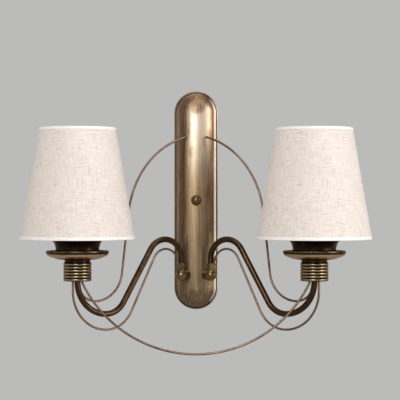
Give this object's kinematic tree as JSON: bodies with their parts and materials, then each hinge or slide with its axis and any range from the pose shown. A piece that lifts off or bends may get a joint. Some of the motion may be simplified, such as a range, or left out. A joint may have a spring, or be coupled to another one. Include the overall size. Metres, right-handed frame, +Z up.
{
  "type": "double arm wall sconce",
  "caption": "Wall light with a domed capsule backplate, two curved arms with fabric cone shades on ribbed brass holders, and thin brass accent rods.",
  "frame": {"origin": "middle of the backplate on the wall plane, half way up the capsule plate", "axes": "+Z up, +Y into the wall (the front faces -Y), +X to the viewer's right"},
  "size_m": [0.458, 0.195, 0.3515],
  "materials": {
    "antique_brass": "brushed antique brass, satin, browned at the edges",
    "rod_brass": "satin antique brass, slightly browned",
    "bronze": "dark antique brass, satin, bright on the crests",
    "dark_bronze": "deep brown patina, satin",
    "zinc_steel": "zinc plated",
    "block_plastic": "moulded, off-white",
    "holder_plastic": "moulded, ivory",
    "contact_brass": "bare, bright",
    "lead_sheath": "soft, ivory",
    "earth_sheath": "soft, green and yellow",
    "white_wire": "white, semi-gloss",
    "linen": "plain woven linen on a stiff backing",
    "shade_tape": "folded cotton tape",
    "opal_glass": "opal, satin",
    "cap_nickel": "rolled, satin",
    "black_seal": "black glass seal"
  },
  "bodies": {
    "root": {"wall_bracket": "zinc_steel", "centre_stud": "zinc_steel", "stud_locknut": "zinc_steel", "backplate": "antique_brass", "terminal_block": "block_plastic", "terminal_screws": "zinc_steel", "earth_screw": "zinc_steel", "earth_lead": "earth_sheath", "swag_rod": "rod_brass", "left_knuckle": "antique_brass", "left_knuckle_nut": "zinc_steel", "left_arm_tube": "antique_brass", "left_arm_collar": "antique_brass", "left_lower_rod": "rod_brass", "left_hoop_rod": "rod_brass", "left_ribbed_ferrule": "bronze", "left_neck_ring": "dark_bronze", "left_drip_dish": "bronze", "left_cup": "dark_bronze", "left_nipple": "zinc_steel", "left_lampholder_base": "holder_plastic", "left_lampholder_body": "holder_plastic", "left_lampholder_contacts": "contact_brass", "left_lead": "lead_sheath", "right_knuckle": "antique_brass", "right_knuckle_nut": "zinc_steel", "right_arm_tube": "antique_brass", "right_arm_collar": "antique_brass", "right_lower_rod": "rod_brass", "right_hoop_rod": "rod_brass", "right_ribbed_ferrule": "bronze", "right_neck_ring": "dark_bronze", "right_drip_dish": "bronze", "right_cup": "dark_bronze", "right_nipple": "zinc_steel", "right_lampholder_base": "holder_plastic", "right_lampholder_body": "holder_plastic", "right_lampholder_contacts": "contact_brass", "right_lead": "lead_sheath"},
    "cap_washer": {"cap_nut_washer": "antique_brass"},
    "cap_nut": {"cap_nut": "antique_brass"},
    "left_shade": {"left_shade_cover": "linen", "left_shade_trims": "shade_tape", "left_shade_frame": "white_wire"},
    "left_shade_ring": {"left_shade_ring": "holder_plastic"},
    "left_bulb_tip": {"left_bulb_contact": "cap_nickel"},
    "left_bulb": {"left_bulb_insulator": "black_seal", "left_bulb_cap": "cap_nickel", "left_bulb_glass": "opal_glass"},
    "right_shade": {"right_shade_cover": "linen", "right_shade_trims": "shade_tape", "right_shade_frame": "white_wire"},
    "right_shade_ring": {"right_shade_ring": "holder_plastic"},
    "right_bulb_tip": {"right_bulb_contact": "cap_nickel"},
    "right_bulb": {"right_bulb_insulator": "black_seal", "right_bulb_cap": "cap_nickel", "right_bulb_glass": "opal_glass"}
  },
  "joints": [
    {"name": "cap_nut_travel", "type": "slide", "parent": "root", "child": "cap_washer", "axis": [0, -1, 0], "range_m": [0, 0.0048]},
    {"name": "cap_nut_turn", "type": "hinge", "parent": "cap_washer", "child": "cap_nut", "pos_m": [0, -0.0183, 0], "axis": [0, -1, 0], "range_deg": [0, 2200]},
    {"name": "left_shade_turn", "type": "hinge", "parent": "root", "child": "left_shade", "pos_m": [-0.154, -0.12, -0.0326], "axis": [0, 0, 1], "continuous": true},
    {"name": "left_shade_ring_turn", "type": "hinge", "parent": "root", "child": "left_shade_ring", "pos_m": [-0.154, -0.12, -0.0311], "axis": [0, 0, 1], "range_deg": [0, 1080]},
    {"name": "left_bulb_rise", "type": "slide", "parent": "root", "child": "left_bulb_tip", "axis": [0, 0, 1], "range_m": [0, 0.02177]},
    {"name": "left_bulb_turn", "type": "hinge", "parent": "left_bulb_tip", "child": "left_bulb", "pos_m": [-0.154, -0.12, -0.0528], "axis": [0, 0, 1], "range_deg": [0, 2200]},
    {"name": "right_shade_turn", "type": "hinge", "parent": "root", "child": "right_shade", "pos_m": [0.154, -0.12, -0.0326], "axis": [0, 0, 1], "continuous": true},
    {"name": "right_shade_ring_turn", "type": "hinge", "parent": "root", "child": "right_shade_ring", "pos_m": [0.154, -0.12, -0.0311], "axis": [0, 0, 1], "range_deg": [0, 1080]},
    {"name": "right_bulb_rise", "type": "slide", "parent": "root", "child": "right_bulb_tip", "axis": [0, 0, 1], "range_m": [0, 0.02177]},
    {"name": "right_bulb_turn", "type": "hinge", "parent": "right_bulb_tip", "child": "right_bulb", "pos_m": [0.154, -0.12, -0.0528], "axis": [0, 0, 1], "range_deg": [0, 2200]}
  ],
  "couplings": [
    {"joint": "cap_nut_turn", "follows": "cap_nut_travel", "rad_per_m": 7854},
    {"joint": "left_bulb_turn", "follows": "left_bulb_rise", "rad_per_m": 1731.4},
    {"joint": "right_bulb_turn", "follows": "right_bulb_rise", "rad_per_m": 1731.4}
  ]
}
